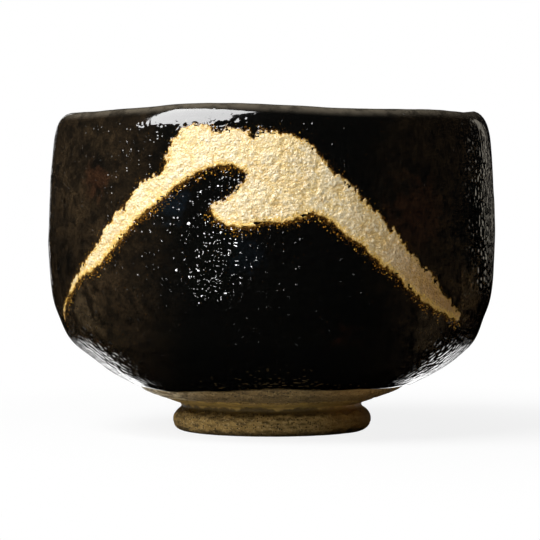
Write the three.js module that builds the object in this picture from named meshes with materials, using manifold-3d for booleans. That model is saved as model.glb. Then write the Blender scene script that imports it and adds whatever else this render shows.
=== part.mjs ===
// Hand-formed black-glazed matcha bowl, in millimetres, +Z up.
// The origin is the middle of the foot ring's resting face, and the decorated front faces -Y.
// Angles round the bowl are in radians, or in degrees where a name says so. They are measured
// from the front and are positive towards +X.
import * as THREE from 'three';
import { mergeVertices } from 'three/addons/utils/BufferGeometryUtils.js';
import Module from 'manifold-3d';

// Driving dimensions.
const GLAZE_THICKNESS = 0.8;
const COAT_GAP = 0.25;          // clearance between a coat and the clay, or two coats
const SEGMENTS_AROUND = 64;

// The glazed surface in section, [radius, height]: from the glaze line under the hip, up the
// wall, over the lip and down the inside to the middle of the tea pool.
const GLAZED_SECTION = [
  [36.0, 12.1], [42.6, 15.3], [49.3, 20.1], [53.7, 24.2], [56.2, 30.0], [58.1, 36.0],
  [59.0, 48.0], [58.8, 60.0], [58.2, 72.0], [57.4, 79.0], [55.9, 82.6], [53.6, 84.0],
  [51.8, 82.6], [51.1, 79.0], [51.6, 70.0], [52.0, 57.0], [51.6, 45.0], [49.8, 35.0],
  [45.5, 27.0], [38.5, 21.4], [29.0, 18.2], [20.5, 16.6], [16.5, 14.8], [10.0, 13.6],
  [0.0, 13.2],
];
const LIP_CREST = 11;           // which point of the glazed section is the top of the lip
const LIP_PARTING = 0.07;       // half the slit between the two coats, as a share of a step

// The bare clay under the bowl, from the middle of the foot's recess out to the glaze line.
const BARE_UNDERSIDE = [
  [0.0, 5.4], [9.0, 5.6], [15.0, 5.9], [18.0, 6.2], [24.4, 7.8], [28.7, 9.0], [33.0, 10.6],
];

// The foot ring in section: the flat resting face, the flared outside, the neck and the inside.
const FOOT_SECTION = [
  [18.2, 0.0], [23.6, 0.0], [25.2, 0.6], [26.1, 1.8], [26.3, 3.2], [25.8, 4.7], [24.7, 6.1],
  [24.3, 7.4], [18.2, 5.9], [17.2, 4.9], [16.8, 3.0], [17.1, 1.2],
];

// How far the maker's hands left the bowl from true.
const OVAL = { lobes: 2, share: 0.004, towards: THREE.MathUtils.degToRad(40) };
const SQUARENESS = { lobes: 4, share: 0.003, towards: THREE.MathUtils.degToRad(20) };
const HIP_BULGE = { amount: 0.8, height: 19, spread: 5 };
const NECK_PINCH = { amount: -0.5, height: 9.5, spread: 2.5 };
const RIM_SWELLS = [
  { lobes: 1, rise: -0.18, towards: 0 },
  { lobes: 3, rise: 0.6, towards: THREE.MathUtils.degToRad(-16) },
  { lobes: 6, rise: 0.3, towards: THREE.MathUtils.degToRad(-14) },
];
const OUT_OF_ROUND_STARTS = 8;  // heights between which each effect grows to its full size
const OUT_OF_ROUND_FULL = 30;
const RIM_WAVE_STARTS = 45;
const RIM_WAVE_FULL = 84;

// The window left in the outer coat: a low ridge with two long arms and a hooked valley,
// as [angle in degrees, height].
const WINDOW_OUTLINE = [
  [-73, 30], [-54, 45], [-48.5, 49.5], [-43, 55.5], [-38, 60], [-34, 64.5], [-28, 67.5],
  [-25, 73.5], [-21, 78.5], [-16, 78.5], [-13.5, 76.8], [-8, 78], [-4.6, 75.5], [-3, 76.8],
  [5, 77], [8, 75], [12.5, 71], [17.5, 65.5], [27, 56], [36, 47.3], [48, 37], [58, 30.3],
  [46, 33.2], [38, 37], [31, 42.3], [24.5, 46.8], [17.5, 52.4], [9.5, 57.6], [-1, 55.3],
  [-7.5, 54.2], [-12.5, 55.4], [-14.5, 57.8], [-10.5, 61.3], [-6.5, 65.8], [-6.8, 68],
  [-11.5, 68.7], [-21, 65.4], [-31, 58.3], [-40, 51.2], [-49, 43.5], [-54, 42], [-60, 38.4],
];
const WINDOW_RADIUS = 59;       // the wall's radius, for measuring along the surface
const SHARPEST_MITRE = 0.3;     // keeps the inset of the window's pointed ends short
// The window's cutter is built in rings at these radii. The coat lies between the middle two,
// and the outermost is far enough out for the cutter's flat end faces to clear the coat.
const CUTTER_RADII = [30, 53.5, 62.5, 170];

const wasm = await Module();
wasm.setup();

function bell(value, { amount, height, spread }) {
  return amount * Math.exp(-(((value - height) / spread) ** 2));
}

// Moves a point of the true, lathe-round bowl to where the hands left it.
function handFormed(radius, angle, height) {
  const wallShare = THREE.MathUtils.smoothstep(height, OUT_OF_ROUND_STARTS, OUT_OF_ROUND_FULL);
  const rimShare = THREE.MathUtils.smoothstep(height, RIM_WAVE_STARTS, RIM_WAVE_FULL);
  const unevenness = [OVAL, SQUARENESS]
    .map(({ lobes, share, towards }) => share * Math.cos(lobes * (angle - towards)))
    .reduce((sum, term) => sum + term, 0);
  const rightSide = Math.sin(angle) * THREE.MathUtils.smoothstep(radius, 0, FOOT_SECTION[0][0]);
  const sideShift = rightSide * (bell(height, HIP_BULGE) + bell(height, NECK_PINCH));
  const rimRise = RIM_SWELLS
    .map(({ lobes, rise, towards }) => rise * Math.cos(lobes * (angle - towards)))
    .reduce((sum, term) => sum + term, 0);
  return {
    radius: radius * (1 + wallShare * unevenness) + sideShift,
    height: height + rimShare * rimRise,
  };
}

// Turns a section into a solid of revolution and gives it the hand-formed shape.
function handFormedSolid(section) {
  const geometry = new THREE.LatheGeometry(section, SEGMENTS_AROUND);
  geometry.rotateX(Math.PI / 2);
  const position = geometry.attributes.position;
  for (let i = 0; i < position.count; i += 1) {
    const x = position.getX(i);
    const y = position.getY(i);
    const angle = Math.atan2(x, -y);
    const formed = handFormed(Math.hypot(x, y), angle, position.getZ(i));
    const onBowl = [formed.radius * Math.sin(angle), -formed.radius * Math.cos(angle)];
    position.setXYZ(i, ...onBowl, formed.height);
  }
  return weld(geometry);
}

function weld(geometry) {
  geometry.deleteAttribute('normal');
  geometry.deleteAttribute('uv');
  const welded = mergeVertices(geometry);
  welded.computeVertexNormals();
  return welded;
}

function toVectors(points) {
  return points.map(([across, up]) => new THREE.Vector2(across, up));
}

// The points of the glazed section from one step to another, sunk into the clay by a depth.
function sunkSection(fromStep, toStep, depth) {
  const curve = new THREE.SplineCurve(toVectors(GLAZED_SECTION));
  const lastStep = GLAZED_SECTION.length - 1;
  const steps = [fromStep];
  for (let step = Math.floor(fromStep) + 1; step < toStep; step += 1) {
    steps.push(step);
  }
  steps.push(toStep);
  return steps.map((step) => {
    const point = curve.getPoint(step / lastStep);
    const tangent = curve.getTangent(step / lastStep);
    const sunk = new THREE.Vector2(point.x - tangent.y * depth, point.y + tangent.x * depth);
    if (step === lastStep) {
      sunk.x = 0;               // the middle of the tea pool stays on the axis
    }
    return sunk;
  });
}

function closed(section) {
  return [...section, section[0].clone()];
}

function outerCoatSolid() {
  const lastStep = LIP_CREST - LIP_PARTING;
  const surface = sunkSection(0, lastStep, 0);
  const underneath = sunkSection(0, lastStep, GLAZE_THICKNESS);
  return handFormedSolid(closed([...surface, ...underneath.reverse()]));
}

function innerCoatSolid() {
  const firstStep = LIP_CREST + LIP_PARTING;
  const lastStep = GLAZED_SECTION.length - 1;
  const surface = sunkSection(firstStep, lastStep, 0);
  const underneath = sunkSection(firstStep, lastStep, GLAZE_THICKNESS);
  return handFormedSolid([...underneath.reverse(), ...surface]);
}

function clayBodySolid() {
  const depth = GLAZE_THICKNESS + COAT_GAP;
  const underCoats = sunkSection(0, GLAZED_SECTION.length - 1, depth);
  return handFormedSolid([...toVectors(BARE_UNDERSIDE), ...underCoats]);
}

function footRingSolid() {
  return handFormedSolid(closed(toVectors(FOOT_SECTION)));
}

// The window's outline moved inwards by a distance measured along the bowl's surface.
function insetOutline(distance) {
  const perDegree = THREE.MathUtils.degToRad(WINDOW_RADIUS);
  const points = WINDOW_OUTLINE.map(([degrees, height]) => (
    new THREE.Vector2(degrees * perDegree, height)));
  const count = points.length;
  return points.map((point, i) => {
    const before = point.clone().sub(points[(i + count - 1) % count]).normalize();
    const after = points[(i + 1) % count].clone().sub(point).normalize();
    const inwards = new THREE.Vector2(before.y + after.y, -before.x - after.x).normalize();
    const mitre = Math.max(SHARPEST_MITRE, inwards.dot(new THREE.Vector2(after.y, -after.x)));
    const moved = point.clone().addScaledVector(inwards, distance / mitre);
    return [moved.x / perDegree, moved.y];
  });
}

// A block with the window's outline, fanned out from the bowl's axis through its wall.
function windowCutter(outline) {
  const shape = new THREE.Shape(toVectors(outline));
  const steps = CUTTER_RADII.length - 1;
  const geometry = new THREE.ExtrudeGeometry(shape, { steps, depth: steps, bevelEnabled: false });
  const position = geometry.attributes.position;
  for (let i = 0; i < position.count; i += 1) {
    const angle = THREE.MathUtils.degToRad(position.getX(i));
    const radius = CUTTER_RADII[Math.round(position.getZ(i))];
    position.setXYZ(i, radius * Math.sin(angle), -radius * Math.cos(angle), position.getY(i));
  }
  return weld(geometry);
}

function toManifold(geometry) {
  return new wasm.Manifold(new wasm.Mesh({
    numProp: 3,
    vertProperties: new Float32Array(geometry.attributes.position.array),
    triVerts: new Uint32Array(geometry.index.array),
  }));
}

function fromManifold(solid) {
  const mesh = solid.getMesh();
  const geometry = new THREE.BufferGeometry();
  geometry.setAttribute('position', new THREE.BufferAttribute(mesh.vertProperties, 3));
  geometry.setIndex(new THREE.BufferAttribute(mesh.triVerts, 1));
  geometry.computeVertexNormals();
  return geometry;
}

function glazeWithWindow() {
  const window = toManifold(windowCutter(WINDOW_OUTLINE));
  return fromManifold(toManifold(outerCoatSolid()).subtract(window));
}

function patchInWindow() {
  const patch = toManifold(windowCutter(insetOutline(COAT_GAP)));
  return fromManifold(toManifold(outerCoatSolid()).intersect(patch));
}

function piece(name, geometry, color, roughness) {
  const material = new THREE.MeshStandardMaterial({ color, roughness, metalness: 0 });
  const mesh = new THREE.Mesh(geometry, material);
  mesh.name = name;
  return mesh;
}

const matchaBowl = new THREE.Group();
matchaBowl.name = 'matcha_bowl';
matchaBowl.add(
  piece('clay_body', clayBodySolid(), 0x6e5a38, 0.85),
  piece('foot_ring', footRingSolid(), 0x74603c, 0.85),
  piece('outer_glaze', glazeWithWindow(), 0x0a0908, 0.15),
  piece('inner_glaze', innerCoatSolid(), 0x0c0a09, 0.2),
  piece('slip_patch', patchInWindow(), 0xe6d4a2, 0.6),
);

export default matchaBowl;
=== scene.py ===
import math

import bpy
import numpy as np
from mathutils import Euler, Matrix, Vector


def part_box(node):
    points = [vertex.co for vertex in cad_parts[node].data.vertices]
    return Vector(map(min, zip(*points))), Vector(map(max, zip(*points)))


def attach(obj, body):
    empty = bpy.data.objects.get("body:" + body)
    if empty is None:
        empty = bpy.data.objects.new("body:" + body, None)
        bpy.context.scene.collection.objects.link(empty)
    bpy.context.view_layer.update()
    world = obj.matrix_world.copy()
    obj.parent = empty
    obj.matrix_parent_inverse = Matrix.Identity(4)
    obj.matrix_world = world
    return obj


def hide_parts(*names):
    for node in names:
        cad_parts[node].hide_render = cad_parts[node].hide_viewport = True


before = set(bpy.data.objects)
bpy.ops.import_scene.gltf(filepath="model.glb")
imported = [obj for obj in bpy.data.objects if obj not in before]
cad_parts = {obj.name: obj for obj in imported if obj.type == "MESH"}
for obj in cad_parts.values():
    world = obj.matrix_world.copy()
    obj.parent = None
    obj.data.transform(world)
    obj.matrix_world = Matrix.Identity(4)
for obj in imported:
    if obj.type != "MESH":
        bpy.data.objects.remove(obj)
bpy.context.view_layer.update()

MM = 0.001
DEGREE = math.pi / 180

# ---- The bowl's sections, as the CAD model draws them, (radius, height) in millimetres ----
GLAZED_SECTION = [
    (36.0, 12.1), (42.6, 15.3), (49.3, 20.1), (53.7, 24.2), (56.2, 30.0), (58.1, 36.0),
    (59.0, 48.0), (58.8, 60.0), (58.2, 72.0), (57.4, 79.0), (55.9, 82.6), (53.6, 84.0),
    (51.8, 82.6), (51.1, 79.0), (51.6, 70.0), (52.0, 57.0), (51.6, 45.0), (49.8, 35.0),
    (45.5, 27.0), (38.5, 21.4), (29.0, 18.2), (20.5, 16.6), (16.5, 14.8), (10.0, 13.6),
    (0.0, 13.2),
]
LIP_CREST = 11                # which point of the glazed section is the top of the lip
BARE_CONE = [(24.4, 7.5), (28.7, 9.0), (33.0, 10.6)]      # bare clay between foot and glaze
FOOT_RECESS = [(0.0, 4.6), (3.0, 5.0), (8.0, 5.5), (13.0, 5.6), (16.0, 5.2), (18.0, 5.6)]
FOOT_SECTION = [
    (18.6, 0.0), (20.8, 0.0), (23.1, 0.0), (24.8, 0.35), (25.9, 1.4), (26.3, 2.8), (26.1, 4.2),
    (25.3, 5.3), (24.4, 6.2), (24.1, 7.2), (24.5, 8.2), (23.0, 8.2), (18.6, 6.6), (17.2, 5.2),
    (16.8, 3.0), (17.3, 1.0),
]
COAT = 0.8 * MM               # thickness of the glaze coats
CLAY_UNDER_COAT = 1.05 * MM   # how deep the clay lies under the glazed surface

# ---- How far the maker's hands left it from true, as in the CAD model ----
OUT_OF_ROUND = [(2, 0.004, 40 * DEGREE), (4, 0.003, 20 * DEGREE)]    # lobes, share, towards
OUT_OF_ROUND_GROWS = (8 * MM, 30 * MM)      # heights between which it grows to its full size
RIM_SWELLS = [                                                       # lobes, rise, towards
    (1, -0.18 * MM, 0.0), (3, 0.6 * MM, -16 * DEGREE), (6, 0.3 * MM, -14 * DEGREE),
]
RIM_SWELLS_GROW = (45 * MM, 84 * MM)
SIDE_SHIFTS = [                                          # amount, height, spread
    (0.8 * MM, 19 * MM, 5 * MM), (-0.5 * MM, 9.5 * MM, 2.5 * MM),
]

# ---- The window in the black coat, (angle in degrees, height in millimetres) ----
WINDOW_OUTLINE = [
    (-73, 30), (-63, 37.5), (-54, 45), (-48.5, 49.5), (-43, 55.5), (-38, 60), (-34, 64.5),
    (-28, 67.5), (-25, 73.5), (-21, 78.5), (-16, 78.3), (-13.5, 76.6), (-11, 77), (-8, 78),
    (-6, 77.4), (-4.6, 75.3), (-3, 76.8), (1, 77), (5, 77), (8, 75), (12.5, 71), (14.5, 68.3),
    (17.5, 65.5), (22.7, 60.7), (27, 56), (32.5, 50.8), (36, 47.3), (41, 43), (48, 37),
    (58, 30.3), (46, 33.2), (38, 37), (31, 42.3), (24.5, 46.8), (21.8, 50), (17.5, 52.4),
    (13, 56), (9.5, 57.6), (5, 56), (-1, 55.3), (-7.5, 54.2), (-12.5, 55.4), (-14.5, 57.8),
    (-13.9, 59.5), (-10.5, 61.3), (-8, 63.4), (-6.5, 65.8), (-6.8, 68), (-11.5, 68.7),
    (-15.7, 68), (-21, 65.4), (-26.5, 62), (-31, 58.3), (-35.6, 55.3), (-40, 51.2),
    (-44.2, 47.1), (-49, 43.5), (-54, 42), (-60, 38.4),
]
WALL_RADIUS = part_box("outer_glaze")[1][0]
PATCH_LAP = 1.8 * MM          # how far the patch's melted edge reaches over the black coat
WINDOW_LEDGE = 0.3 * MM       # how far inside the outline the black coat stops
LIP_LAP = 2.4 * MM            # how far the outer coat laps over the liner inside the lip
FAR_FROM_EDGE = 50.0          # painted on pieces that don't reach the glaze line, millimetres

# ---- Fineness of the meshes ----
COAT_PITCH = 0.92 * MM
LINER_PITCH = 1.1 * MM
LINER_RADIUS = 52 * MM
PATCH_PITCH = 0.21 * MM
CLAY_PITCH = 0.38 * MM
BARE_CLAY_RADIUS = 30 * MM
FOOT_RADIUS = 26 * MM
ROWS_IN_RECESS = 30
ROWS_UNDER_COATS = 56
SHARP_FROM = 60 * DEGREE      # edges at least this steep are shaded as corners

# Turns the noise's grid away from the axes, so that its planes never show as straight lines.
TURNED = np.array(Euler((0.6, 0.5, 0.9)).to_matrix())


# ================================ Numbers ================================

def smooth_step(value, low, high):
    """Climbs from 0 to 1 between two values, without corners."""
    share = np.clip((value - low) / (high - low), 0.0, 1.0)
    return share * share * (3.0 - 2.0 * share)


def bell(value, middle, spread):
    """1 at the middle value, and close to 0 two spreads away."""
    return np.exp(-(((value - middle) / spread) ** 2))


def scramble(cell, seed):
    """Repeatable numbers from 0 to 1, one for each whole-number cell."""
    mixed = np.full(cell.shape[:-1], seed * 2654435761 % 2**32, dtype=np.uint64)
    for axis, prime in enumerate((73856093, 19349663, 83492791)):
        mixed ^= cell[..., axis].astype(np.uint64) * np.uint64(prime)
    for _ in range(2):
        mixed &= np.uint64(0xFFFFFFFF)
        mixed ^= mixed >> np.uint64(16)
        mixed *= np.uint64(0x45D9F3B)
    mixed &= np.uint64(0xFFFFFFFF)
    return mixed.astype(float) / 2**32


def noise(points, size, seed):
    """Smooth noise from -1 to 1, with features about size across."""
    scaled = points @ TURNED / size
    base = np.floor(scaled).astype(np.int64)
    part = scaled - base
    fade = part * part * (3.0 - 2.0 * part)
    total = np.zeros(len(points))
    for corner in np.ndindex(2, 2, 2):
        weight = np.prod(np.where(corner, fade, 1.0 - fade), axis=1)
        total += weight * scramble(base + np.array(corner), seed)
    return 2.0 * total - 1.0


def layered_noise(points, size, seed, layers=3):
    """Noise with finer and fainter layers on top."""
    total = np.zeros(len(points))
    for layer in range(layers):
        total += noise(points, size / 2**layer, seed + layer) / 2**layer
    return total


def cells(points, size, seed):
    """Distance to the nearest and second nearest of scattered seeds, in cell sizes, and a
    number from 0 to 1 that is the nearest seed's own."""
    scaled = points / size
    base = np.floor(scaled).astype(np.int64)
    nearest = np.full(len(points), 9.0)
    second = np.full(len(points), 9.0)
    own = np.zeros(len(points))
    for offset in np.ndindex(3, 3, 3):
        cell = base + np.array(offset) - 1
        jitter = np.stack([scramble(cell, seed + axis) for axis in range(3)], axis=1)
        distance = np.linalg.norm(cell + jitter - scaled, axis=1)
        closer = distance < nearest
        second = np.where(closer, nearest, np.minimum(second, distance))
        own = np.where(closer, scramble(cell, seed + 3), own)
        nearest = np.where(closer, distance, nearest)
    return nearest, second, own


def spline(points, steps):
    """The smooth curve through the points, read at steps that count in points."""
    points = np.asarray(points, dtype=float)
    last = len(points) - 1
    whole = np.clip(steps.astype(int), 0, last - 1)
    part = (steps - whole)[:, None]
    before = points[np.maximum(whole - 1, 0)]
    start = points[whole]
    end = points[whole + 1]
    after = points[np.minimum(whole + 2, last)]
    leaving = (end - before) / 2
    arriving = (after - start) / 2
    return ((2 * start - 2 * end + leaving + arriving) * part**3
            + (3 * end - 3 * start - 2 * leaving - arriving) * part**2
            + leaving * part + start)


class Section:
    """A smooth section, read by the distance along it."""

    FINENESS = 40

    def __init__(self, points_mm):
        last = len(points_mm) - 1
        steps = np.linspace(0, last, last * self.FINENESS + 1)
        self.curve = spline(points_mm, steps) * MM
        lengths = np.linalg.norm(np.diff(self.curve, axis=0), axis=1)
        self.along = np.concatenate([[0.0], np.cumsum(lengths)])
        slope = np.gradient(self.curve, self.along, axis=0)
        slope /= np.linalg.norm(slope, axis=1)[:, None]
        self.outward = np.stack([slope[:, 1], -slope[:, 0]], axis=1)
        self.length = self.along[-1]

    def at_point(self, index):
        """The distance along the section at one of the points it was drawn through."""
        return self.along[index * self.FINENESS]

    def read(self, distance, depth):
        """Radius and height of points sunk below the surface by a depth."""
        values = []
        for axis in range(2):
            surface = np.interp(distance, self.along, self.curve[:, axis])
            outward = np.interp(distance, self.along, self.outward[:, axis])
            values.append(surface - outward * depth)
        return values


# ================================ Shape ================================

def on_circle(radius, angle, height):
    return np.stack([radius * np.sin(angle), -radius * np.cos(angle), height], axis=-1)


def hand_formed(radius, angle, height):
    """Moves points of a true, round bowl to where the hands left them."""
    wall_share = smooth_step(height, *OUT_OF_ROUND_GROWS)
    rim_share = smooth_step(height, *RIM_SWELLS_GROW)
    uneven = sum(share * np.cos(lobes * (angle - towards))
                 for lobes, share, towards in OUT_OF_ROUND)
    right = np.sin(angle) * smooth_step(radius, 0.0, FOOT_SECTION[0][0] * MM)
    shift = sum(amount * bell(height, middle, spread) for amount, middle, spread in SIDE_SHIFTS)
    rise = sum(swell * np.cos(lobes * (angle - towards))
               for lobes, swell, towards in RIM_SWELLS)
    return on_circle(radius * (1 + wall_share * uneven) + right * shift, angle,
                     height + rim_share * rise)


def hand_marks(radius, angle, height):
    """How far the hands and the melt left the glazed surface above its smooth section."""
    points = on_circle(radius, angle, height)
    stretched = points * np.array([1.0, 1.0, 1.6])
    return (0.20 * MM * layered_noise(stretched, 17 * MM, 11, 2)
            + 0.05 * MM * layered_noise(points, 4.5 * MM, 23, 2))


def sunk_surface(section, distance, depth, angle):
    """Points on the hand-formed surface of a section, sunk by a depth, marks included."""
    radius, height = section.read(distance, np.zeros_like(distance))
    marks = hand_marks(radius, angle, height)
    radius, height = section.read(distance, depth - marks)
    return hand_formed(radius, angle, height)


def sheet_quads(rows, columns, closed_round):
    """Quads of a grid of points, row by row, facing out when rows climb the outside wall."""
    row = np.arange(rows - 1)[:, None]
    column = np.arange(columns if closed_round else columns - 1)[None, :]
    following = (column + 1) % columns
    corners = [row * columns + column, row * columns + following,
               (row + 1) * columns + following, (row + 1) * columns + column]
    return np.stack([np.broadcast_to(c, (rows - 1, column.size)).ravel() for c in corners], 1)


def rim_edges(quads):
    """The directed edges that only one quad has."""
    edges = np.concatenate([quads[:, [i, (i + 1) % 4]] for i in range(4)])
    keys = np.sort(edges, axis=1)
    _, first, count = np.unique(keys, axis=0, return_index=True, return_counts=True)
    return edges[first[count == 1]]


def thick_sheet(front, back, quads):
    """A closed solid from a sheet's front and back points and the front's quads."""
    shift = len(front)
    rim = rim_edges(quads)
    walls = np.stack([rim[:, 1], rim[:, 0], rim[:, 0] + shift, rim[:, 1] + shift], axis=1)
    return np.concatenate([front, back]), np.concatenate([quads, quads[:, ::-1] + shift, walls])


def used_only(points, quads):
    """Drops the points that no quad uses, and says which were kept."""
    kept, renumbered = np.unique(quads, return_inverse=True)
    return points[kept], renumbered.reshape(quads.shape), kept


def make_piece(name, points, quads, node, material):
    """A smooth mesh piece that rides on the bowl and stands for one CAD node. A quad with a
    doubled corner becomes a triangle."""
    mesh = bpy.data.meshes.new(name)
    faces = [list(dict.fromkeys(face)) for face in quads.tolist()]
    mesh.from_pydata(points.tolist(), [], faces)
    mesh.validate()
    mesh.update()
    mesh.shade_smooth()
    mesh.set_sharp_from_angle(angle=SHARP_FROM)
    mesh.materials.append(material)
    piece = bpy.data.objects.new(name, mesh)
    bpy.context.scene.collection.objects.link(piece)
    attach(piece, "root")
    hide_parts(node)
    return piece


def paint(piece, name, values):
    """Stores one number for each point of a piece, for its material to read."""
    attribute = piece.data.attributes.new(name, "FLOAT", "POINT")
    attribute.data.foreach_set("value", np.asarray(values, dtype=np.float32))


# ---- The window ----

def window_curve():
    """The window's outline as a smooth closed curve, in metres along the wall and up."""
    corners = np.array(WINDOW_OUTLINE, dtype=float)
    corners = np.concatenate([corners[-2:], corners, corners[:3]])
    steps = np.arange(2, len(corners) - 3 + 1e-9, 0.25)
    curve = spline(corners, steps)
    return np.stack([curve[:, 0] * DEGREE * WALL_RADIUS, curve[:, 1] * MM], axis=1)


def inside_window(angle, height):
    """How far points are inside the window's outline, in metres, negative outside it."""
    outline = window_curve()
    points = np.stack([angle * WALL_RADIUS, height], axis=1)
    best = np.full(len(points), 1.0)
    crossings = np.zeros(len(points), dtype=int)
    for start, end in zip(outline[:-1], outline[1:]):
        run = end - start
        share = np.clip(((points - start) @ run) / (run @ run), 0.0, 1.0)
        best = np.minimum(best, np.linalg.norm(points - start - share[:, None] * run, axis=1))
        spans = (start[1] > points[:, 1]) != (end[1] > points[:, 1])
        if spans.any():
            across = start[0] + (points[:, 1] - start[1]) / (run[1] or 1e-12) * run[0]
            crossings += spans & (points[:, 0] < across)
    return np.where(crossings % 2 == 1, best, -best)


def below_patch(angle, height):
    """1 where the nearest part of the window lies above a point, and -1 where it lies below."""
    step = 0.4 * MM
    return (inside_window(angle, height + step) - inside_window(angle, height - step)) / (2 * step)


# ---- Pieces ----

glazed = Section(BARE_CONE + GLAZED_SECTION)
GLAZE_LINE = glazed.at_point(len(BARE_CONE))
CREST = glazed.at_point(len(BARE_CONE) + LIP_CREST)
BELOW_WINDOW = 199            # a step of the section's curve that lies below the window


def glaze_line(angle):
    """Where the black coat ends under the hip: a slow wave with small runs."""
    wave = (0.9 * np.sin(angle * 2 + 0.6) + 0.55 * np.sin(angle * 5 + 2.0)
            + 0.3 * np.sin(angle * 11 + 1.0) + 0.12 * np.sin(angle * 23))
    return GLAZE_LINE + wave * MM


def rounded_edge(distance, width, drop):
    """How much lower a coat is at a distance from its edge, as a quarter of an ellipse."""
    share = 1.0 - np.clip(distance / width, 0.0, 1.0)
    return drop * (1.0 - np.sqrt(1.0 - share * share))


def outer_coat():
    """The black coat, from its rolled edge over the bare clay up and over the crest of the lip."""
    columns = round(2 * math.pi * WALL_RADIUS / COAT_PITCH)
    end = CREST + LIP_LAP
    rows = round((end - GLAZE_LINE) / COAT_PITCH)
    share = np.linspace(0.0, 1.0, rows)
    share = share - 0.006 * np.sin(2 * np.pi * share)
    angle = np.linspace(-math.pi, math.pi, columns, endpoint=False)
    angle, share = [grid.ravel() for grid in np.meshgrid(angle, share)]
    start = glaze_line(angle)
    distance = start + share * (end - start)
    depth = rounded_edge(distance - start, 1.1 * MM, 0.6 * MM)
    depth -= 0.10 * MM * bell(distance - start, 1.6 * MM, 1.2 * MM)
    depth += rounded_edge(end - distance, 1.2 * MM, 0.35 * MM)
    radius, height = glazed.read(distance, np.zeros_like(distance))
    on_wall = (radius > 50 * MM) & (distance < CREST)
    inside = np.where(on_wall, inside_window(angle, height), -1.0)
    front = sunk_surface(glazed, distance, depth, angle)
    back = sunk_surface(glazed, distance, np.maximum(COAT, depth + 0.05 * MM), angle)
    quads = sheet_quads(rows, columns, closed_round=True)
    quads = quads[inside[quads].mean(axis=1) < WINDOW_LEDGE]
    front, renumbered, kept = used_only(front, quads)
    points, solid = thick_sheet(front, back[kept], renumbered)
    piece = make_piece("outer_glaze_coat", points, solid, "outer_glaze",
                       black_glaze("black_glaze"))
    paint(piece, "inside_window", np.tile(inside[kept] / MM, 2))
    paint(piece, "below_patch", np.tile(below_patch(angle[kept], height[kept]), 2))
    paint(piece, "from_edge", np.tile((distance - start)[kept] / MM, 2))
    paint(piece, "above_rim", np.tile((distance - CREST)[kept] / MM, 2))


def inner_coat():
    """The liner, from under the outer coat's lap down to the middle of the tea pool."""
    columns = round(2 * math.pi * LINER_RADIUS / LINER_PITCH)
    start = CREST + 0.6 * MM
    end = glazed.length - 0.35 * MM
    rows = round((end - start) / LINER_PITCH)
    distance = np.linspace(start, end, rows)
    angle = np.linspace(-math.pi, math.pi, columns, endpoint=False)
    angle, distance = [grid.ravel() for grid in np.meshgrid(angle, distance)]
    under_lap = 1.0 - smooth_step(distance - CREST, LIP_LAP, LIP_LAP + 3.0 * MM)
    depth = 0.26 * MM * under_lap
    front = sunk_surface(glazed, distance, depth, angle)
    back = sunk_surface(glazed, distance, np.full_like(distance, COAT), angle)
    quads = sheet_quads(rows, columns, closed_round=True)
    middle_front = front[-columns:].mean(axis=0)
    middle_back = back[-columns:].mean(axis=0)
    front = np.concatenate([front, [middle_front]])
    back = np.concatenate([back, [middle_back]])
    last = (rows - 1) * columns + np.arange(columns)
    hub = np.full(columns, rows * columns)
    fan = np.stack([last, np.roll(last, -1), hub, hub], axis=1)
    points, solid = thick_sheet(front, back, np.concatenate([quads, fan]))
    piece = make_piece("inner_glaze_coat", points, solid, "inner_glaze",
                       liner_glaze("liner_glaze"))
    paint(piece, "from_edge", np.full(2 * len(front), FAR_FROM_EDGE))


def patch_relief(points):
    """Height of the patch's pebbly skin, and how deep in its cracks each point is."""
    slanted = points @ np.array([[0.80, 0.0, 0.35], [0.0, 0.80, 0.0], [-0.35, 0.0, 1.25]])
    wobble = np.stack([noise(points, 1.6 * MM, seed) for seed in (61, 62, 63)], axis=1)
    slanted = slanted + 0.35 * MM * wobble
    nearest, second, own = cells(slanted, 1.05 * MM, 71)
    fine_nearest, _, fine_own = cells(slanted, 0.66 * MM, 81)
    pebble = np.clip(1.0 - (nearest / 0.8) ** 2, 0.0, 1.0) * own
    fine = np.clip(1.0 - (fine_nearest / 0.75) ** 2, 0.0, 1.0) * fine_own
    crack = 1.0 - smooth_step(second - nearest, 0.0, 0.20)
    crack *= smooth_step(noise(points, 2.6 * MM, 95), -0.3, 0.5)
    lumps = layered_noise(points, 2.2 * MM, 91, 2)
    return MM * (0.17 * pebble + 0.16 * fine + 0.11 * lumps - 0.03 * crack), crack


def cream_share(points, inside, upward):
    """How much cream shows, from 0 to 1, and the distance inside the outline made ragged."""
    streaks = points * np.array([1.0, 1.0, 0.45])
    spikes = layered_noise(streaks, 1.5 * MM, 41, 2)
    grains = layered_noise(points, 0.8 * MM, 51, 2)
    upper = smooth_step(upward, -0.2, 0.6)
    tufts = layered_noise(points, 3.2 * MM, 57, 2)
    ragged = (inside + (0.55 * upper + 0.25) * MM * spikes + (0.40 + 0.20 * upper) * MM * grains
              + 0.30 * MM * tufts)
    return smooth_step(ragged, -0.18 * MM, 0.20 * MM), ragged


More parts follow.
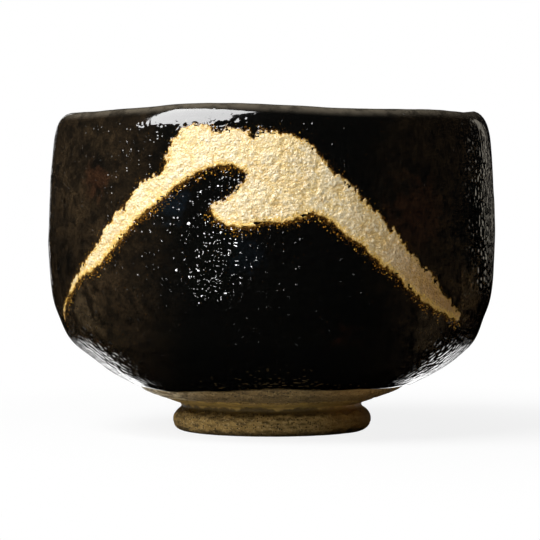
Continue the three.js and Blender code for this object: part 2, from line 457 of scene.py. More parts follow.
def patch_grid():
    """The patch's grid of points on the wall: angle, distance along the section, distance inside
    the window, 1 near an upper edge to -1 near a lower one, and the quads between the points."""
    outline = window_curve()
    reach = PATCH_LAP + 1.0 * MM
    low = outline.min(axis=0) - reach
    high = outline.max(axis=0) + reach
    across = np.arange(low[0], high[0], PATCH_PITCH)
    up = np.arange(glazed.along[BELOW_WINDOW], CREST, PATCH_PITCH)
    angle, distance = [grid.ravel() for grid in np.meshgrid(across / WALL_RADIUS, up)]
    _, height = glazed.read(distance, np.zeros_like(distance))
    inside = np.full(len(angle), -1.0)
    near = (height > low[1]) & (height < high[1])
    inside[near] = inside_window(angle[near], height[near])
    by_row = inside.reshape(len(up), len(across))
    upward = -np.gradient(by_row, PATCH_PITCH, axis=0).ravel()
    quads = sheet_quads(len(up), len(across), closed_round=False)
    quads = quads[inside[quads].min(axis=1) > -PATCH_LAP]
    columns = np.stack([angle, distance, inside, upward], axis=1)
    columns, quads, _ = used_only(columns, quads)
    return *columns.T, quads


def slip_patch():
    """The cream patch in the window, with a thin melted edge that laps over the black coat."""
    angle, distance, inside, upward, quads = patch_grid()
    radius, height = glazed.read(distance, np.zeros_like(distance))
    points = on_circle(radius, angle, height)
    cream, ragged = cream_share(points, inside, upward)
    relief, crack = patch_relief(points)
    rise = 0.03 * MM + cream * (relief - 0.05 * MM)
    edge = rounded_edge(inside + PATCH_LAP, 0.8 * MM, 0.12 * MM)
    thickness = 0.12 * MM + (COAT - 0.12 * MM) * smooth_step(inside, -0.5 * MM, 0.6 * MM)
    front = sunk_surface(glazed, distance, edge - rise, angle)
    back = sunk_surface(glazed, distance, thickness, angle)
    points, solid = thick_sheet(front, back, quads)
    piece = make_piece("slip_patch_skin", points, solid, "slip_patch",
                       cream_slip("cream_slip"))
    paint(piece, "cream", np.tile(cream, 2))
    paint(piece, "ragged", np.tile(ragged / MM, 2))
    paint(piece, "crack", np.tile(crack * cream, 2))
    paint(piece, "relief", np.tile(relief / MM, 2))
    paint(piece, "inside_window", np.tile(inside / MM, 2))
    paint(piece, "below_patch", np.tile(-upward, 2))
    paint(piece, "above_rim", np.tile((distance - CREST) / MM, 2))
    paint(piece, "from_edge", np.full(2 * len(distance), FAR_FROM_EDGE))


def clay_grit(points, size, seed):
    """Pits, from 0 down to -1, and grains, from 0 up to 1, scattered over bare clay."""
    nearest, _, own = cells(points, size, seed)
    pits = np.where(own > 0.72, -np.clip(1.0 - (nearest / 0.55) ** 2, 0.0, 1.0), 0.0)
    grains = np.where(own < 0.2, np.clip(1.0 - (nearest / 0.4) ** 2, 0.0, 1.0), 0.0)
    return pits, grains


def revolved(radius, height, columns, lift):
    """Points of a section turned round the axis, row by row, and each point's true radius.
    lift(radius, angle, height) says how far out along the section's normal a point stands."""
    section = np.stack([radius, height], axis=1)
    slope = np.gradient(section, axis=0)
    slope /= np.maximum(np.linalg.norm(slope, axis=1), 1e-9)[:, None]
    outward = np.stack([slope[:, 1], -slope[:, 0]], axis=1)
    angle = np.linspace(-math.pi, math.pi, columns, endpoint=False)
    angles = np.tile(angle, len(radius))
    radii = np.repeat(radius, columns)
    heights = np.repeat(height, columns)
    stand = lift(radii, angles, heights)
    points = hand_formed(radii + stand * np.repeat(outward[:, 0], columns), angles,
                         heights + stand * np.repeat(outward[:, 1], columns))
    return points, radii


def clay_lift(radius, angle, height):
    """Grit, trimming lines and the crease where the foot was joined, on the bare clay."""
    points = on_circle(radius, angle, height)
    bare = smooth_step(radius, 15 * MM, 18 * MM) * (1.0 - smooth_step(radius, 38 * MM, 40 * MM))
    pits, grains = clay_grit(points, 0.9 * MM, 101)
    drag = points * np.array([0.35, 0.35, 1.0])
    lines = layered_noise(drag, 0.9 * MM, 111, 2)
    wander = 0.25 * MM * np.sin(angle * 3 + 1.0)
    crease = bell(radius, 28.3 * MM + wander, 0.45 * MM)
    lift = 0.12 * MM * pits + 0.06 * MM * grains + 0.06 * MM * lines - 0.28 * MM * crease
    return np.where(height < 14 * MM, bare * lift, 0.0)


def clay_body():
    """The clay: the recess under the foot, the fine bare cone, and the wall under the coats."""
    hidden_from = GLAZE_LINE + 3.0 * MM
    recess = Section(FOOT_RECESS)
    inner = np.linspace(0.0, recess.length, ROWS_IN_RECESS)
    recess_radius, recess_height = recess.read(inner, np.zeros_like(inner))
    bare = np.arange(0.0, hidden_from, CLAY_PITCH)
    start = GLAZE_LINE - 3.0 * MM
    bare_depth = CLAY_UNDER_COAT * smooth_step(bare, start, hidden_from)
    bare_radius, bare_height = glazed.read(bare, bare_depth)
    covered = np.linspace(hidden_from + 2 * MM, glazed.length, ROWS_UNDER_COATS)
    covered_radius, covered_height = glazed.read(covered, np.full_like(covered, CLAY_UNDER_COAT))
    covered_radius[-1] = 0.0
    radius = np.concatenate([recess_radius, bare_radius, covered_radius])
    height = np.concatenate([recess_height, bare_height, covered_height])
    columns = round(2 * math.pi * BARE_CLAY_RADIUS / CLAY_PITCH)
    points, radii = revolved(radius, height, columns, clay_lift)
    quads = sheet_quads(len(radius), columns, closed_round=True)
    # The first and last rows lie on the axis, so all their quads share one point there.
    first = quads[:columns].copy()
    first[:, 0] = first[:, 1] = 0
    final = quads[-columns:].copy()
    final[:, 2] = final[:, 3] = len(points) - 1
    quads = np.concatenate([first, quads[columns:-columns], final])
    points, quads, kept = used_only(points, quads)
    piece = make_piece("clay_body_bare", points, quads, "clay_body",
                       bare_clay("bare_clay", 0.3))
    paint(piece, "ring_radius", radii[kept] / MM)


def foot_lift(radius, angle, height):
    """Pits, throwing lines and small knocks on the foot ring."""
    points = on_circle(radius, angle, height)
    pits, grains = clay_grit(points, 0.8 * MM, 131)
    wide_pits, _ = clay_grit(points, 1.7 * MM, 141)
    drag = points * np.array([0.3, 0.3, 1.0])
    lines = layered_noise(drag, 1.0 * MM, 151, 2)
    dents = layered_noise(points, 5 * MM, 161, 2)
    groove = bell(height, 6.6 * MM + 0.2 * MM * np.sin(angle * 2), 0.45 * MM)
    groove *= radius > 22 * MM
    resting = 1.0 - smooth_step(height, 0.0, 0.8 * MM)
    return (1.0 - 0.85 * resting) * (
        0.14 * MM * pits + 0.07 * MM * grains + 0.16 * MM * wide_pits + 0.07 * MM * lines
        + 0.16 * MM * dents - 0.30 * MM * groove)


def foot_ring():
    """The foot, turned from its closed section, with its resting face flat on the floor."""
    section = Section(FOOT_SECTION + FOOT_SECTION[:1])
    distance = np.linspace(0.0, section.length, round(section.length / CLAY_PITCH))[:-1]
    radius, height = section.read(distance, np.zeros_like(distance))
    columns = round(2 * math.pi * FOOT_RADIUS / CLAY_PITCH)
    points, radii = revolved(radius, height, columns, foot_lift)
    points[:, 2] = np.maximum(points[:, 2], 0.0)
    rows = len(radius)
    quads = sheet_quads(rows, columns, closed_round=True)
    last = (rows - 1) * columns + np.arange(columns)
    first = np.arange(columns)
    closing = np.stack([last, np.roll(last, -1), np.roll(first, -1), first], axis=1)
    quads = np.concatenate([quads, closing])
    piece = make_piece("foot_ring_kodai", points, quads, "foot_ring",
                       bare_clay("foot_clay", 0.7))
    paint(piece, "ring_radius", radii / MM)


# ================================ Materials ================================

def new_material(name):
    """A material, its node tree and its shader."""
    material = bpy.data.materials.new(name)
    material.use_nodes = True
    tree = material.node_tree
    return material, tree, tree.nodes["Principled BSDF"]


def node(tree, kind, inputs=None, **settings):
    """Adds a node. An input given as a socket is joined, and any other is set."""
    added = tree.nodes.new(kind)
    for key, value in settings.items():
        setattr(added, key, value)
    for key, value in (inputs or {}).items():
        if isinstance(value, bpy.types.NodeSocket):
            tree.links.new(value, added.inputs[key])
        else:
            added.inputs[key].default_value = value
    return added


def set_inputs(tree, shader, **values):
    """Joins or sets the shader's inputs, named with _ for each space."""
    for key, value in values.items():
        socket = shader.inputs[key.replace("_", " ")]
        if isinstance(value, bpy.types.NodeSocket):
            tree.links.new(value, socket)
        else:
            socket.default_value = value


def mix(tree, share, first, second):
    """A colour between two colours."""
    added = tree.nodes.new("ShaderNodeMix")
    added.data_type = "RGBA"
    for index, value in ((0, share), (6, first), (7, second)):
        if isinstance(value, bpy.types.NodeSocket):
            tree.links.new(value, added.inputs[index])
        else:
            added.inputs[index].default_value = value
    return added.outputs[2]


def ramp(tree, value, low, high, to_low=0.0, to_high=1.0):
    """Goes smoothly from to_low, at low, to to_high, at high."""
    added = node(tree, "ShaderNodeMapRange", {
        "Value": value, "From Min": low, "From Max": high, "To Min": to_low,
        "To Max": to_high}, interpolation_type="SMOOTHSTEP")
    return added.outputs["Result"]


def math_node(tree, operation, first, second=0.0, third=0.0):
    return node(tree, "ShaderNodeMath", {0: first, 1: second, 2: third},
                operation=operation).outputs[0]


def object_place(tree, stretch=(1.0, 1.0, 1.0)):
    """The place on the bowl. A stretch below 1 draws out a noise's features that way."""
    place = node(tree, "ShaderNodeTexCoord").outputs["Object"]
    return node(tree, "ShaderNodeMapping", {"Vector": place, "Scale": stretch}).outputs["Vector"]


def noise_node(tree, place, size, detail=2.0):
    """Noise from 0 to 1 with features about size metres across."""
    return node(tree, "ShaderNodeTexNoise", {
        "Vector": place, "Scale": 1.0 / size, "Detail": detail}).outputs["Fac"]


def scattered(tree, place, size):
    """Distance to the nearest of scattered seeds, in cell sizes, and two numbers from 0 to 1
    that are the seed's own."""
    seeds = node(tree, "ShaderNodeTexVoronoi", {"Vector": place, "Scale": 1.0 / size})
    own = node(tree, "ShaderNodeSeparateColor", {"Color": seeds.outputs["Color"]})
    return seeds.outputs["Distance"], own.outputs[0], own.outputs[1]


def product(tree, *factors):
    """The factors multiplied together."""
    result = factors[0]
    for factor in factors[1:]:
        result = math_node(tree, "MULTIPLY", result, factor)
    return result


def coordinates(tree, place):
    """The X, Y and Z of a place."""
    return node(tree, "ShaderNodeSeparateXYZ", {"Vector": place}).outputs


def stored(tree, name):
    """A number that was painted on the piece. Painted distances are in millimetres."""
    return node(tree, "ShaderNodeAttribute", attribute_name=name).outputs["Fac"]


def pimples(tree, place):
    """Scattered round pimples in the glaze, in millimetres."""
    distance, own, _ = scattered(tree, place, 1.0 * MM)
    squared = math_node(tree, "POWER", distance, 2.0)
    dome = math_node(tree, "SUBTRACT", 1.0, math_node(tree, "MULTIPLY", squared, 4.5))
    return product(tree, math_node(tree, "MAXIMUM", dome, 0.0),
                   ramp(tree, own, 0.60, 1.0, 0.0, 0.16))


def trimming_marks(tree, place):
    """Marks of the trimming knife that show through the glaze under the hip, in millimetres."""
    x, _, z = coordinates(tree, place)
    hip = product(tree, ramp(tree, z, 23 * MM, 17 * MM), ramp(tree, z, 13 * MM, 16.5 * MM))
    beside = ramp(tree, math_node(tree, "ABSOLUTE", x), 18 * MM, 40 * MM, 0.0, 0.40)
    dragged = object_place(tree, (0.12, 0.12, 1.0))
    return product(tree, noise_node(tree, dragged, 0.8 * MM, 2.0), product(tree, hip, beside))


def peel_height(tree, place):
    """The glaze's orange peel in millimetres: ripples and pimples in clusters, calmer towards
    the lip and the glaze line, and the trimming marks."""
    cluster = ramp(tree, noise_node(tree, place, 12 * MM, 2.0), 0.30, 0.70, 0.75, 1.20)
    swell = ramp(tree, stored(tree, "above_rim"), -24.0, -9.0, 0.36, 0.17)
    ripples = product(tree, noise_node(tree, place, 1.45 * MM, 0.0), swell)
    height = math_node(tree, "ADD", ripples, pimples(tree, place))
    calm_edge = ramp(tree, stored(tree, "from_edge"), 2.0, 9.0, 0.15, 1.0)
    height = product(tree, height, product(tree, cluster, calm_edge))
    return math_node(tree, "ADD", height, trimming_marks(tree, place))


def calmer_lip(tree, place, height):
    """Flattens the peel over the left of the lip, where the glaze ran smooth."""
    left = ramp(tree, coordinates(tree, place)["X"], 10 * MM, 0.0, 0.50, 0.90)
    calm = product(tree, left, ramp(tree, stored(tree, "above_rim"), -6.6, -5.0))
    return product(tree, height, math_node(tree, "SUBTRACT", 1.0, calm))


def bump(tree, height, distance):
    return node(tree, "ShaderNodeBump", {"Height": height, "Distance": distance}).outputs[0]


BLACK = (0.0016, 0.0016, 0.0014, 1.0)
BROWN_AND_SIDE_SHEEN = (0.028, 0.018, 0.009, 1.0)
LINER_BROWN = (0.020, 0.012, 0.006, 1.0)
# Olive of the glaze's blushes, and of a painted reflection low on the right.
OLIVE_AND_REFLECTION = (0.055, 0.038, 0.020, 1.0)
# A painted brownish reflection on the right of the wall, where little light reaches.
RIGHT_REFLECTION_OLIVE = (0.085, 0.054, 0.024, 1.0)
RUST = (0.032, 0.011, 0.005, 1.0)
BLUE = (0.0040, 0.0065, 0.0095, 1.0)
# Grey-brown of the lip: thin glaze, and a painted grazing reflection.
LIP_BROWN_AND_SHEEN = (0.080, 0.068, 0.050, 1.0)
THIN_GLAZE = (0.050, 0.028, 0.010, 1.0)
GOLD = (0.62, 0.39, 0.070, 1.0)
AMBER = (0.33, 0.150, 0.016, 1.0)
DARK_AMBER = (0.062, 0.026, 0.004, 1.0)
CREAM = (0.60, 0.500, 0.315, 1.0)
TAN = (0.61, 0.430, 0.150, 1.0)
CRACK_TAN = (0.40, 0.230, 0.050, 1.0)
CRUMB_TAN = (0.42, 0.275, 0.095, 1.0)
# Pale cream of the pebbles' tops, also used for painted glint specks.
PALE_AND_GLINT = (0.74, 0.67, 0.49, 1.0)
# Orange-brown of the right arm: its own fading, and painted shade.
ORANGE_FADE_AND_SHADE = (0.33, 0.150, 0.024, 1.0)

# Blushes in the glaze, and two painted reflections, the olive spots at 45 and 60 degrees: colour,
# angle, height and radius in millimetres, strength
BLUSHES = [
    (OLIVE_AND_REFLECTION, -57, 32, 8, 0.65), (OLIVE_AND_REFLECTION, 45, 28, 9, 0.5), (RIGHT_REFLECTION_OLIVE, 60, 37, 10, 0.6),
    (RUST, -57, 23, 6, 0.60), (RUST, -49, 66, 6, 0.45), (RUST, 38, 57, 11, 0.35),
    (RUST, 18, 25, 6, 0.35), (BLUE, -26, 60, 6, 0.8), (BLUE, -6, 48, 6, 0.35),
    (RUST, 150, 50, 14, 0.45), (OLIVE_AND_REFLECTION, -140, 40, 16, 0.35), (OLIVE_AND_REFLECTION, 115, 60, 14, 0.3),
]


def blush(tree, place, mottle, colour, tint, angle, height, radius, strength):
    """Tints the glaze round one spot on the wall, with a mottled edge."""
    spot = on_circle(WALL_RADIUS, angle * DEGREE, height * MM).tolist()
    away = node(tree, "ShaderNodeVectorMath", {0: place, 1: spot},
                operation="DISTANCE").outputs["Value"]
    away = math_node(tree, "ADD", away, ramp(tree, mottle, 0.25, 0.75, 0.5 * radius * MM,
                                             -0.5 * radius * MM))
    share = ramp(tree, away, radius * MM, 0.2 * radius * MM, 0.0, strength)
    return mix(tree, share, colour, tint)


def glaze_colour(tree, place):
    """Black with brown clouds and a painted sheen at the sides, blushes, two painted reflections,
    and a brown lip with a painted sheen.
    """
    side = math_node(tree, "ABSOLUTE", coordinates(tree, place)["X"])
    cloud = noise_node(tree, place, 24 * MM, 4.0)
    mottle = noise_node(tree, place, 3.0 * MM, 4.0)
    # Brown clouds, stronger towards the sides: partly the glaze's own brown, partly a painted
    # sheen at the sides.
    brown = product(tree, ramp(tree, cloud, 0.25, 0.60), ramp(tree, side, 18 * MM, 50 * MM),
                    ramp(tree, mottle, 0.3, 0.7, 0.25, 1.0))
    colour = mix(tree, brown, BLACK, BROWN_AND_SIDE_SHEEN)
    for tint, angle, height, radius, strength in BLUSHES:
        colour = blush(tree, place, mottle, colour, tint, angle, height, radius, strength)
    grains = ramp(tree, noise_node(tree, place, 0.55 * MM, 2.0), 0.42, 0.62, 0.50, 0.0)
    colour = mix(tree, grains, colour, BLACK)
    # The brown band along the lip is partly thin glaze, partly a painted grazing reflection of the
    # backdrop.
    above = stored(tree, "above_rim")
    lip = product(tree, ramp(tree, above, -4.0, -1.4), ramp(tree, above, 2.4, 0.6),
                  ramp(tree, mottle, 0.25, 0.6, 0.25, 0.95))
    colour = mix(tree, lip, colour, LIP_BROWN_AND_SHEEN)
    thin = ramp(tree, stored(tree, "from_edge"), 1.6, 0.0, 0.0, 0.8)
    return mix(tree, thin, colour, THIN_GLAZE)


def glaze_roughness(tree, place):
    """Glossy, with slightly duller clouds."""
    return ramp(tree, noise_node(tree, place, 10 * MM, 3.0), 0.3, 0.7, 0.045, 0.08)


def fringe_specks(tree, place, colour):
    """Amber grains and gold specks in the black, mostly just below the patch."""
    near = ramp(tree, stored(tree, "inside_window"), -3.6, -0.2)
    below = ramp(tree, stored(tree, "below_patch"), -0.2, 0.5, 0.25, 1.0)
    clumps = ramp(tree, noise_node(tree, place, 2.4 * MM, 2.0), 0.3, 0.7, 0.45, 1.15)
    near = product(tree, near, below, clumps)
    grains = math_node(tree, "MULTIPLY_ADD", near, 0.24, noise_node(tree, place, 0.36 * MM, 1.0))
    colour = mix(tree, ramp(tree, grains, 0.72, 0.84, 0.0, 0.9), colour, DARK_AMBER)
    distance, own, tone = scattered(tree, place, 0.42 * MM)
    chosen = ramp(tree, math_node(tree, "MULTIPLY_ADD", near, 0.40, own), 0.98, 1.12)
    spot = product(tree, chosen, ramp(tree, distance, 0.60, 0.20), ramp(tree, near, 0.0, 0.2))
    return mix(tree, spot, colour, mix(tree, ramp(tree, tone, 0.55, 1.0), AMBER, GOLD))


def black_glaze(name):
    """The outer coat: glossy black with blushes, and amber specks round the patch."""
    material, tree, shader = new_material(name)
    place = object_place(tree)
    colour = fringe_specks(tree, place, glaze_colour(tree, place))
    set_inputs(tree, shader, Base_Color=colour, Roughness=glaze_roughness(tree, place),
               Normal=bump(tree, calmer_lip(tree, place, peel_height(tree, place)), MM), IOR=1.52)
    return material


def liner_glaze(name):
    """The inside: the same black with faint brown clouds and a calmer surface."""
    material, tree, shader = new_material(name)
    place = object_place(tree)
    cloud = noise_node(tree, place, 22 * MM, 4.0)
    colour = mix(tree, ramp(tree, cloud, 0.45, 0.75), BLACK, LINER_BROWN)
    set_inputs(tree, shader, Base_Color=colour, Roughness=glaze_roughness(tree, place),
               Normal=bump(tree, peel_height(tree, place), 0.7 * MM), IOR=1.52)
    return material


def skin_colour(tree, place):
    """The cream pebbles: tan hollows, pale tops, tan crumbs, pale specks that are painted glints,
    and a darker orange fade with painted shade towards the lower right arm.
    """
    relief = stored(tree, "relief")
    warm = ramp(tree, noise_node(tree, place, 7 * MM, 4.0), 0.40, 0.72, 0.0, 0.55)
    skin = mix(tree, warm, CREAM, TAN)
    skin = mix(tree, ramp(tree, relief, 0.12, -0.06, 0.0, 0.75), skin, TAN)
    skin = mix(tree, ramp(tree, relief, 0.16, 0.36, 0.0, 0.5), skin, PALE_AND_GLINT)
    crumbs_and_glints = noise_node(tree, place, 0.50 * MM, 2.0)
    skin = mix(tree, ramp(tree, crumbs_and_glints, 0.50, 0.34, 0.0, 0.60), skin, CRUMB_TAN)
    # Pale specks painted on the cream as glints.
    skin = mix(tree, ramp(tree, crumbs_and_glints, 0.54, 0.68, 0.0, 0.70), skin, PALE_AND_GLINT)
    x, _, z = coordinates(tree, place)
    # Towards the lower right arm the cream turns darker orange: partly its own fading, partly
    # painted shade where less light reaches.
    tail_fade_and_shade = product(tree, ramp(tree, x, 10 * MM, 46 * MM),
                   ramp(tree, z, 70 * MM, 36 * MM, 0.15, 1.0))
    skin = mix(tree, product(tree, tail_fade_and_shade, 0.85), skin, ORANGE_FADE_AND_SHADE)
    return mix(tree, product(tree, stored(tree, "crack"), 0.60), skin, CRACK_TAN)


def ragged_edge(tree, place):
    """Millimetres in from the patch's ragged edge, with grains. It is read as larger along the
    upper edge and as smaller along the lower one, where the fringe is wide."""
    grains = ramp(tree, noise_node(tree, place, 0.34 * MM, 1.0), 0.3, 0.7, -0.60, 0.60)
    below = ramp(tree, stored(tree, "below_patch"), -0.3, 0.5, 1.7, 0.75)
    return product(tree, math_node(tree, "ADD", stored(tree, "ragged"), grains), below)


def cream_slip(name):
    """Cream skin with a gold and amber edge, and the black glaze where its melted edge laps."""
    material, tree, shader = new_material(name)
    place = object_place(tree)
    cream = stored(tree, "cream")
    edge = ragged_edge(tree, place)
    skin = skin_colour(tree, place)
    skin = mix(tree, ramp(tree, edge, 1.10, 0.20, 0.0, 0.90), skin, GOLD)
    skin = mix(tree, ramp(tree, edge, 0.25, -0.05, 0.0, 0.75), skin, AMBER)
    black = fringe_specks(tree, place, glaze_colour(tree, place))
    black = mix(tree, ramp(tree, edge, -0.55, -0.05, 0.0, 0.80), black, DARK_AMBER)
    colour = mix(tree, cream, black, skin)
    roughness = math_node(tree, "MULTIPLY_ADD", cream, 0.34, glaze_roughness(tree, place))
    granules = product(tree, noise_node(tree, place, 0.45 * MM, 2.0), 0.30)
    height = math_node(tree, "MULTIPLY_ADD", granules, cream, peel_height(tree, place))
    set_inputs(tree, shader, Base_Color=colour, Roughness=roughness,
               Normal=bump(tree, calmer_lip(tree, place, height), MM), IOR=1.52)
    return material


CLAY_OLIVE = (0.250, 0.156, 0.042, 1.0)
CLAY_TAN = (0.500, 0.330, 0.110, 1.0)
CLAY_CONE = (0.150, 0.096, 0.036, 1.0)
# Colour of the painted pale sheen, a grazing reflection, on the left of the cone.
CLAY_SHEEN = (0.800, 0.660, 0.430, 1.0)
CLAY_SLIP = (0.390, 0.245, 0.052, 1.0)
CLAY_SHADE = (0.050, 0.031, 0.009, 1.0)
# Pale grit of the clay, which also serves as painted highlight specks.
CLAY_GRIT_AND_GLINT = (0.640, 0.460, 0.200, 1.0)
CLAY_SPECK = (0.010, 0.008, 0.005, 1.0)
# Orange of the toasted right side, brightened as painted light.
CLAY_ORANGE_AND_LIGHT = (0.640, 0.320, 0.070, 1.0)


def faded(tree, share, least):
    """1 where the share is 0, falling to least where the share is 1."""
    return ramp(tree, share, 0.0, 1.0, 1.0, least)


def clay_colour(tree, place, drag, cone, left_sheen, smooth):
    """Olive and tan clay: a darker cone with a painted pale sheen on its left, dragged lines, and
    pale grit, partly painted glints.
    """
    tone = noise_node(tree, place, 9 * MM, 4.0)
    colour = mix(tree, ramp(tree, tone, 0.3, 0.7), CLAY_OLIVE, CLAY_TAN)
    colour = mix(tree, product(tree, cone, 0.85), colour, CLAY_CONE)
    # A painted pale sheen, streaked, on the left of the cone.
    streaks = ramp(tree, noise_node(tree, drag, 0.7 * MM, 3.0), 0.34, 0.60, 0.10, 0.85)
    colour = mix(tree, product(tree, left_sheen, streaks), colour, CLAY_SHEEN)
    lines = ramp(tree, noise_node(tree, drag, 0.8 * MM, 3.0), 0.40, 0.72, 0.0, 0.75)
    colour = mix(tree, product(tree, lines, faded(tree, smooth, 0.25)), colour, CLAY_SHADE)
    # Pale grit in the clay, partly painted highlight specks.
    grit = ramp(tree, noise_node(tree, place, 0.6 * MM, 2.0), 0.55, 0.70, 0.0, 0.60)
    grit = product(tree, grit, faded(tree, smooth, 0.2), faded(tree, cone, 0.5))
    return mix(tree, grit, colour, CLAY_GRIT_AND_GLINT)


def dark_specks(tree, place, smooth):
    """Scattered dark grains, few of them in the smooth slip."""
    distance, own, _ = scattered(tree, place, 0.52 * MM)
    return product(tree, ramp(tree, own, 0.70, 0.76), ramp(tree, distance, 0.55, 0.25, 0.0, 0.9),
                   faded(tree, smooth, 0.1))


def bare_clay(name, orange):
    """Olive-brown fired clay, smooth with slip in the neck over the foot, with painted shade in
    its groove and a dark resting edge. Orange says how strongly the right side is toasted, partly
    painted light."""
    material, tree, shader = new_material(name)
    place = object_place(tree)
    drag = object_place(tree, (0.3, 0.3, 1.0))
    x, _, z = coordinates(tree, place)
    wander = ramp(tree, noise_node(tree, place, 2.5 * MM, 3.0), 0.25, 0.75, -0.6, 0.6)
    up = math_node(tree, "MULTIPLY_ADD", z, 1.0 / MM, wander)
    cone = ramp(tree, stored(tree, "ring_radius"), 27.5, 28.8)
    # Where the painted pale sheen lies: the left of the cone, where the clay catches a grazing
    # reflection.
    left_sheen = product(tree, ramp(tree, x, -16 * MM, -30 * MM), cone)
    smooth = product(tree, ramp(tree, up, 5.2, 6.2), ramp(tree, up, 9.3, 8.7), 0.9)
    groove = product(tree, ramp(tree, up, 4.8, 5.9), ramp(tree, up, 7.6, 6.8))
    colour = clay_colour(tree, place, drag, cone, left_sheen, smooth)
    tone = noise_node(tree, place, 1.6 * MM, 3.0)
    slip = mix(tree, ramp(tree, tone, 0.35, 0.65), CLAY_OLIVE, CLAY_SLIP)
    colour = mix(tree, product(tree, smooth, 0.8), colour, slip)
    # Painted shade in the groove above the foot's bulge.
    colour = mix(tree, product(tree, groove, 0.80), colour, CLAY_SHADE)
    colour = mix(tree, dark_specks(tree, place, smooth), colour, CLAY_SPECK)
    # The right side turns orange: partly toasted in the fire, partly painted light where little
    # light reaches.
    colour = mix(tree, ramp(tree, x, 8 * MM, 26 * MM, 0.0, orange), colour, CLAY_ORANGE_AND_LIGHT)
    colour = mix(tree, ramp(tree, up, 1.7, 0.5, 0.0, 0.7), colour, CLAY_SHADE)
    height = math_node(tree, "ADD", noise_node(tree, place, 0.6 * MM, 3.0),
                       noise_node(tree, drag, 0.9 * MM, 2.0))
    height = product(tree, height, faded(tree, smooth, 0.3))
    roughness = math_node(tree, "SUBTRACT", ramp(tree, smooth, 0.0, 1.0, 0.75, 0.50),
                          product(tree, left_sheen, 0.35))
    set_inputs(tree, shader, Base_Color=colour, Roughness=roughness,
               Normal=bump(tree, height, 0.45 * MM), IOR=1.45, Specular_IOR_Level=0.3)
    return material


# ================================ Stage ================================

CAMERA_PLACE = Vector((-0.0005, -0.6767, 0.0576))
CAMERA_AIM = Vector((-0.0005, 0.0, 0.0424))
LENS_MM = 169.7
SENSOR_MM = 36.0
LIGHTS_AIM = Vector((0.0, 0.0, 0.045))
WARM = (1.0, 0.92, 0.76)
FLOOR_HALF_WIDTH = 4.0


def camera():
    """The photo's view: from the front, slightly above the middle of the bowl."""
    data = bpy.data.cameras.new("camera")
    data.lens = LENS_MM
    data.sensor_width = SENSOR_MM
    data.clip_start = 10 * MM
    view = bpy.data.objects.new("camera", data)
    bpy.context.scene.collection.objects.link(view)
    view.location = CAMERA_PLACE
    view.rotation_euler = (CAMERA_AIM - CAMERA_PLACE).to_track_quat("-Z", "Y").to_euler()
    bpy.context.scene.camera = view


def panel(name, azimuth, elevation, distance, width, height, radiance, tint=(1, 1, 1)):
    """A soft rectangular light that faces the bowl and that the camera doesn't see. Its azimuth
    is measured as angles round the bowl are."""
    data = bpy.data.lights.new(name, "AREA")
    data.shape = "RECTANGLE"
    data.size = width
    data.size_y = height
    data.energy = radiance * math.pi * width * height
    data.color = tint
    light = bpy.data.objects.new(name, data)
    bpy.context.scene.collection.objects.link(light)
    level = distance * math.cos(elevation * DEGREE)
    away = Vector((level * math.sin(azimuth * DEGREE), -level * math.cos(azimuth * DEGREE),
                   distance * math.sin(elevation * DEGREE)))
    light.location = LIGHTS_AIM + away
    light.rotation_euler = away.to_track_quat("Z", "Y").to_euler()
    light.visible_camera = False


def lights():
    """One softbox up on the left, a small low light for the sparkles, and two edge strips."""
    panel("overhead_softbox", -50, 46, 0.9, 0.66, 0.62, 15.0)
    panel("low_glint", -28, -5.8, 0.36, 0.026, 0.014, 62.0)
    panel("right_edge_strip", 147, 4, 0.9, 0.12, 0.5, 0.5, tint=WARM)
    panel("left_edge_strip", -166, 4, 0.9, 0.03, 0.4, 1.0)


def backdrop():
    """White to the camera, and dim to everything else, so that the glaze stays black."""
    world = bpy.data.worlds.new("studio")
    bpy.context.scene.world = world
    world.use_nodes = True
    tree = world.node_tree
    ray = node(tree, "ShaderNodeLightPath").outputs["Is Camera Ray"]
    colour = mix(tree, ray, (0.006, 0.006, 0.006, 1.0), (1.0, 1.0, 1.0, 1.0))
    tree.links.new(colour, tree.nodes["Background"].inputs["Color"])


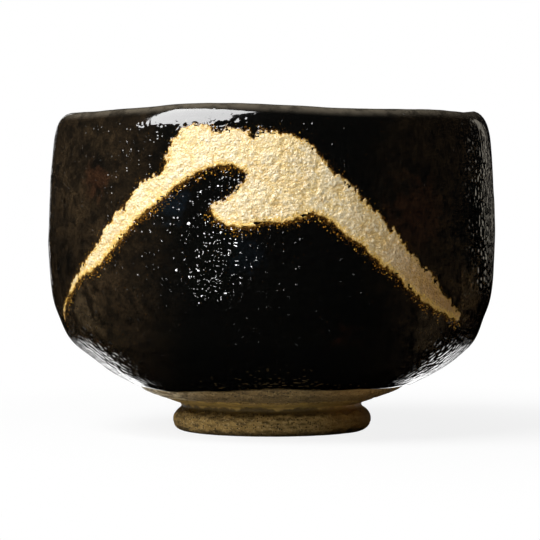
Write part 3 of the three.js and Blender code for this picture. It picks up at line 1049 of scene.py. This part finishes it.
def floor_material():
    """To the camera, pale under the bowl and white away from it. To the light that bounces, a
    plain matt grey. In the glaze, dark but for a bright zone on each side behind the bowl."""
    material = bpy.data.materials.new("pale_floor")
    material.use_nodes = True
    tree = material.node_tree
    tree.nodes.clear()
    place = node(tree, "ShaderNodeTexCoord").outputs["Object"]
    x, y, _ = coordinates(tree, place)
    rays = node(tree, "ShaderNodeLightPath").outputs

    reach = node(tree, "ShaderNodeVectorMath", {0: place}, operation="LENGTH").outputs["Value"]
    far = ramp(tree, reach, 40 * MM, 200 * MM)
    matt = node(tree, "ShaderNodeBsdfDiffuse", {"Color": (0.08, 0.08, 0.08, 1.0)})
    glow = node(tree, "ShaderNodeEmission", {"Strength": 0.86})
    white = node(tree, "ShaderNodeEmission", {"Strength": 1.0})
    near = node(tree, "ShaderNodeAddShader", {0: matt.outputs[0], 1: glow.outputs[0]})
    seen = node(tree, "ShaderNodeMixShader", {0: far, 1: near.outputs[0], 2: white.outputs[0]})

    behind = product(tree, ramp(tree, y, 12 * MM, 45 * MM, 0.0, 2.2),
                     ramp(tree, y, 110 * MM, 50 * MM))
    side = math_node(tree, "ABSOLUTE", x)
    beside = product(tree, ramp(tree, side, 15 * MM, 40 * MM), ramp(tree, side, 95 * MM, 60 * MM))
    mirrored = node(tree, "ShaderNodeEmission", {"Strength": product(tree, behind, beside)})
    bounce = node(tree, "ShaderNodeBsdfDiffuse", {"Color": (0.60, 0.60, 0.60, 1.0)})
    unseen = node(tree, "ShaderNodeMixShader", {
        0: rays["Is Glossy Ray"], 1: bounce.outputs[0], 2: mirrored.outputs[0]})

    both = node(tree, "ShaderNodeMixShader", {
        0: rays["Is Camera Ray"], 1: unseen.outputs[0], 2: seen.outputs[0]})
    node(tree, "ShaderNodeOutputMaterial", {"Surface": both.outputs[0]})
    return material


def floor():
    """A wide plain floor under the foot."""
    mesh = bpy.data.meshes.new("floor")
    half = FLOOR_HALF_WIDTH
    corners = [(-half, -half, 0.0), (half, -half, 0.0), (half, half, 0.0), (-half, half, 0.0)]
    mesh.from_pydata(corners, [], [(0, 1, 2, 3)])
    mesh.materials.append(floor_material())
    ground = bpy.data.objects.new("floor", mesh)
    bpy.context.scene.collection.objects.link(ground)


camera()
lights()
backdrop()
floor()
bpy.context.scene.view_settings.view_transform = "Standard"
outer_coat()
inner_coat()
slip_patch()
clay_body()
foot_ring()
